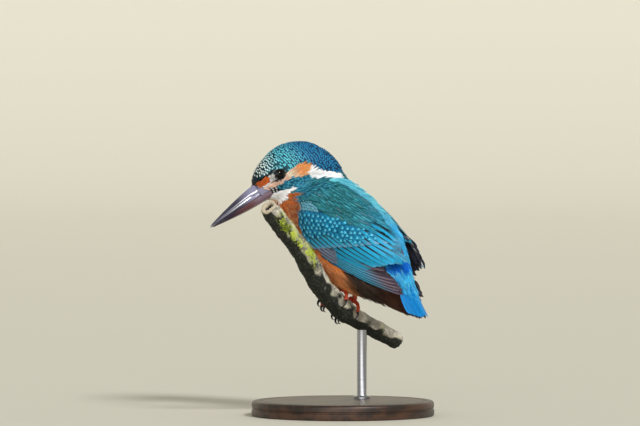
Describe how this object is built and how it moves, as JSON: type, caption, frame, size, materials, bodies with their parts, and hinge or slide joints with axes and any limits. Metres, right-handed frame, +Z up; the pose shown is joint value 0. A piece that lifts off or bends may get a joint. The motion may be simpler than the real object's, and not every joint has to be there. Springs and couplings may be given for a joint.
{
  "type": "common kingfisher",
  "caption": "Life-size still model of a small perched fishing bird with a dagger bill, short tail and folded wings, gripping a cut branch on a round display stand.",
  "frame": {"origin": "The centre of the underside of the stand's round base, on the floor.", "axes": "+Z is up. The bird's trunk faces -Y, so its left side is +X; its head is turned to its left."},
  "size_m": [0.1118, 0.1024, 0.1443],
  "materials": {
    "plumage": "matte feather",
    "wing": "satin feather",
    "tail": "satin feather",
    "breast": "matte feather",
    "bill": "glossy horn",
    "eye": "wet gloss",
    "leg": "scaly skin",
    "claw": "horn",
    "bark": "rough bark with lichen",
    "base": "dark satin varnish",
    "rod": "brushed"
  },
  "bodies": {
    "root": {"head": "plumage", "neck": "plumage", "trunk": "breast", "tail": "tail", "wing_left": "wing", "wing_right": "wing", "bill_upper": "bill", "bill_lower": "bill", "eye_left": "eye", "eye_right": "eye", "leg_left": "leg", "leg_right": "leg", "foot_left": "leg", "foot_right": "leg", "claw_left_1": "claw", "claw_left_2": "claw", "claw_left_3": "claw", "claw_left_4": "claw", "claw_right_1": "claw", "claw_right_2": "claw", "claw_right_3": "claw", "claw_right_4": "claw", "perch": "bark", "stand_base": "base", "stand_rod": "rod"}
  },
  "joints": []
}
